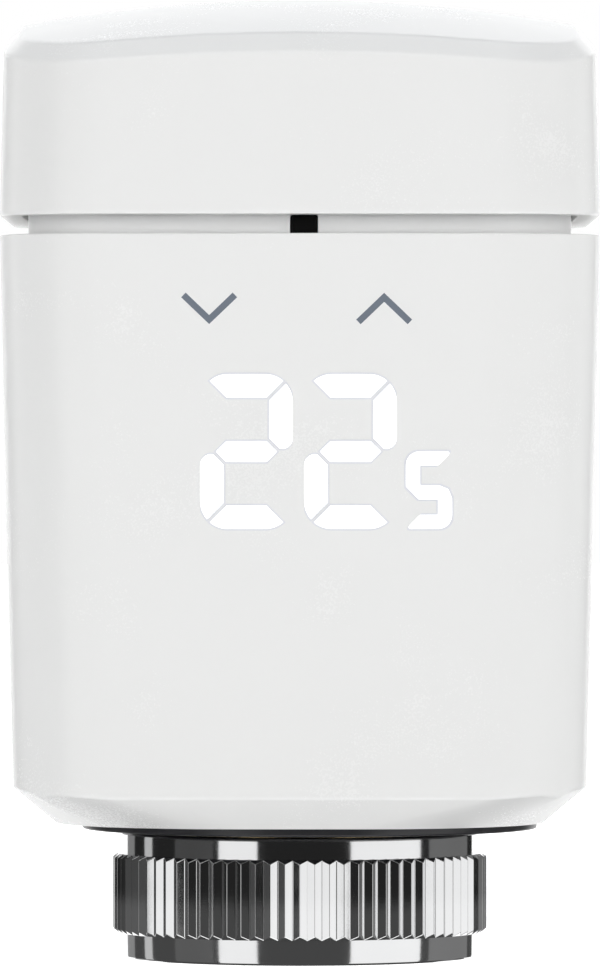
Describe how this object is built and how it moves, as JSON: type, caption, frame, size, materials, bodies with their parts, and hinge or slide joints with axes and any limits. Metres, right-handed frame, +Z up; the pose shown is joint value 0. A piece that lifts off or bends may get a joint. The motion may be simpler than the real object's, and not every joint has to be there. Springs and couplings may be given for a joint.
{
  "type": "radiator thermostat head",
  "caption": "Motorised radiator-valve thermostat head: square white housing, lift-off domed battery cap, front display and a knurled union nut underneath.",
  "frame": {"origin": "middle of the union nut's lower rim, at the bottom centre of the part", "axes": "+Z up along the nut's and the plunger's axis, away from the valve; -Y is the front with the display; +X to the viewer's right"},
  "size_m": [0.054, 0.054, 0.0878],
  "materials": {
    "white_plastic": "satin moulded, fine gloss",
    "light_plastic": "satin moulded",
    "diffuser": "milky film",
    "black_plastic": "satin moulded",
    "grey_plastic": "matt moulded, glass-filled",
    "gear_plastic": "natural acetal, satin",
    "chrome": "bright plated over turned and knurled metal",
    "brass": "turned",
    "steel": "bright zinc or nickel plate",
    "board_green": "solder mask",
    "battery_jacket": "plain printed foil, satin",
    "copper": "thin copper foil"
  },
  "bodies": {
    "housing": {"body_shell": "white_plastic", "seal_plate": "black_plastic", "battery_frame": "light_plastic", "sensor_window": "black_plastic", "thermistor": "black_plastic", "battery_left": "battery_jacket", "battery_right": "battery_jacket", "contact_spring": "steel", "contact_plate": "steel", "valve_collar": "brass", "retaining_ring": "steel", "collar_screw_a": "steel", "collar_screw_b": "steel", "collar_screw_c": "steel", "gearbox_case": "grey_plastic", "gearbox_cover": "grey_plastic", "gearbox_screw_a": "steel", "gearbox_screw_b": "steel", "gearbox_screw_c": "steel", "gearbox_screw_d": "steel", "motor_can": "steel", "motor_end_cap": "black_plastic", "first_stage_pin": "steel", "second_stage_pin": "steel", "light_guide": "light_plastic", "display_diffuser": "diffuser", "display_board": "board_green", "main_board": "board_green", "radio_module": "steel", "capacitor": "black_plastic", "antenna": "copper", "flex_link": "copper", "touch_electrode_down": "copper", "touch_electrode_up": "copper"},
    "cap": {"cap_shell": "white_plastic", "battery_bridge": "steel", "bridge_spring": "steel"},
    "nut": {"union_nut": "chrome"},
    "output": {"output_gear": "gear_plastic"},
    "second_stage": {"second_stage_gear": "gear_plastic"},
    "first_stage": {"first_stage_gear": "gear_plastic"},
    "motor_rotor": {"motor_pinion": "brass", "motor_shaft": "steel"},
    "plunger": {"plunger_screw": "brass", "plunger_tip": "steel"}
  },
  "joints": [
    {"name": "cap_lift", "type": "slide", "parent": "housing", "child": "cap", "axis": [0, 0, 1], "range_m": [0, 0.03]},
    {"name": "nut_spin", "type": "hinge", "parent": "housing", "child": "nut", "pos_m": [0, 0, 0], "axis": [0, 0, 1], "continuous": true},
    {"name": "output_spin", "type": "hinge", "parent": "housing", "child": "output", "pos_m": [0, 0, 0.0228], "axis": [0, 0, 1], "range_deg": [0, 541]},
    {"name": "second_spin", "type": "hinge", "parent": "housing", "child": "second_stage", "pos_m": [0.00996, 0.00836, 0.0215], "axis": [0, 0, 1], "range_deg": [-1801, 0]},
    {"name": "first_spin", "type": "hinge", "parent": "housing", "child": "first_stage", "pos_m": [0.00268, 0.01256, 0.0205], "axis": [0, 0, 1], "range_deg": [0, 5761]},
    {"name": "motor_spin", "type": "hinge", "parent": "housing", "child": "motor_rotor", "pos_m": [-0.00483, 0.01529, 0.0205], "axis": [0, 0, 1], "range_deg": [-17281, 0]},
    {"name": "plunger_slide", "type": "slide", "parent": "housing", "child": "plunger", "axis": [0, 0, 1], "range_m": [0, 0.0045]}
  ],
  "couplings": [
    {"joint": "output_spin", "follows": "plunger_slide", "rad_per_m": 2094.4},
    {"joint": "second_spin", "follows": "plunger_slide", "rad_per_m": -6981.3},
    {"joint": "first_spin", "follows": "plunger_slide", "rad_per_m": 22340},
    {"joint": "motor_spin", "follows": "plunger_slide", "rad_per_m": -67021}
  ]
}
